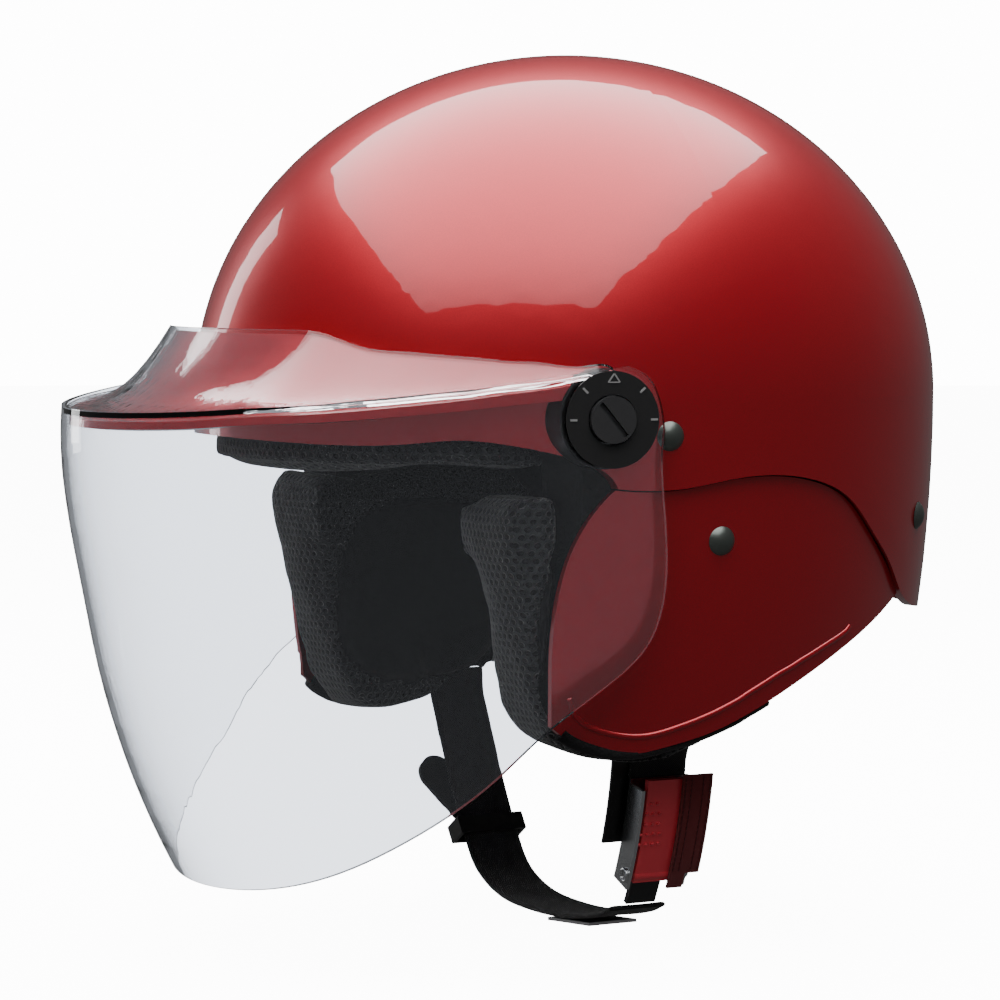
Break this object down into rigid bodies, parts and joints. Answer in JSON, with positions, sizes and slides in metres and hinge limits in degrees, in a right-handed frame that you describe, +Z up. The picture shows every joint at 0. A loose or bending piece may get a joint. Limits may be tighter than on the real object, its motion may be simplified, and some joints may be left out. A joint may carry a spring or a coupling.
{
  "type": "motorcycle helmet",
  "caption": "Open-face scooter helmet: hard shell with ear panels, padded lining, clear tilting bubble visor on dial pivots and a chin strap with a quick-release ratchet buckle.",
  "frame": {"origin": "centre of the wearer's head, at the middle of the shell's widest section", "axes": "+X towards the wearer's left, -Y towards the front, +Z up"},
  "size_m": [0.2536, 0.3341, 0.3166],
  "materials": {
    "shell_red": "gloss",
    "brim_red": "gloss",
    "clear_visor": "gloss",
    "black_plastic": "satin",
    "black_gloss": "gloss",
    "foam_black": "matte",
    "mesh_fabric": "matte",
    "strap_black": "matte",
    "vinyl_black": "gloss",
    "steel": "satin",
    "gunmetal": "satin",
    "tab_red": "satin",
    "ribbon_red": "matte",
    "reflector": "gloss"
  },
  "bodies": {
    "helmet": {"brim": "brim_red", "brow_band": "mesh_fabric", "cheek_pad_left": "mesh_fabric", "cheek_pad_right": "mesh_fabric", "crown_pad": "mesh_fabric", "impact_liner": "foam_black", "outer_shell": "shell_red", "rear_reflector": "reflector", "rivet_panel_left": "gunmetal", "rivet_panel_right": "gunmetal", "rivet_rear_left": "gunmetal", "rivet_rear_right": "gunmetal", "rivet_upper_left": "gunmetal", "rivet_upper_right": "gunmetal", "side_panel_left": "shell_red", "side_panel_right": "shell_red", "strap_anchor_left": "steel", "strap_anchor_right": "steel", "visor_base_left": "black_plastic", "visor_base_right": "black_plastic"},
    "visor": {"visor": "clear_visor", "index_ring_left": "black_plastic", "index_ring_right": "black_plastic", "pivot_bush_left": "black_plastic", "pivot_bush_right": "black_plastic"},
    "dial_turn_left": {"dial_left": "black_gloss"},
    "dial_turn_right": {"dial_right": "black_gloss"},
    "strap_left": {"webbing_left": "strap_black", "strap_flap": "vinyl_black", "buckle_base": "steel", "buckle_pin": "steel"},
    "release": {"release_tab": "tab_red", "pull_ribbon": "ribbon_red"},
    "strap_link": {"anchor_link_right": "steel"},
    "strap_right": {"webbing_right": "strap_black", "ratchet_tongue": "black_plastic", "strap_tail": "strap_black", "strap_keeper": "black_plastic", "chin_plate": "steel"}
  },
  "joints": [
    {"name": "visor_tilt", "type": "hinge", "parent": "helmet", "child": "visor", "pos_m": [0, -0.053, -0.005], "axis": [-1, 0, 0], "range_deg": [0, 30]},
    {"name": "dial_left_turn", "type": "hinge", "parent": "visor", "child": "dial_turn_left", "pos_m": [0.12125, -0.053, -0.005], "axis": [0.9781, -0.2079, 0], "range_deg": [-130, 50]},
    {"name": "dial_right_turn", "type": "hinge", "parent": "visor", "child": "dial_turn_right", "pos_m": [-0.12125, -0.053, -0.005], "axis": [-0.9781, -0.2079, 0], "range_deg": [-50, 130]},
    {"name": "strap_swing", "type": "hinge", "parent": "helmet", "child": "strap_left", "pos_m": [0.08, -0.006, -0.1], "axis": [1, 0, 0], "range_deg": [-10, 10]},
    {"name": "strap_swing_right", "type": "hinge", "parent": "helmet", "child": "strap_link", "pos_m": [-0.076, -0.006, -0.1], "axis": [1, 0, 0], "range_deg": [-10, 10]},
    {"name": "release_lift", "type": "hinge", "parent": "strap_left", "child": "release", "pos_m": [0.07244, -0.006, -0.1687], "axis": [0, 1, 0], "range_deg": [0, 25], "stiffness_Nm_per_rad": 0.03, "springref_deg": -11.46},
    {"name": "strap_open", "type": "hinge", "parent": "strap_link", "child": "strap_right", "pos_m": [-0.076, -0.006, -0.108], "axis": [0, 1, 0], "range_deg": [0, 14]}
  ],
  "couplings": [
    {"joint": "strap_swing_right", "follows": "strap_swing", "ratio": 1}
  ]
}
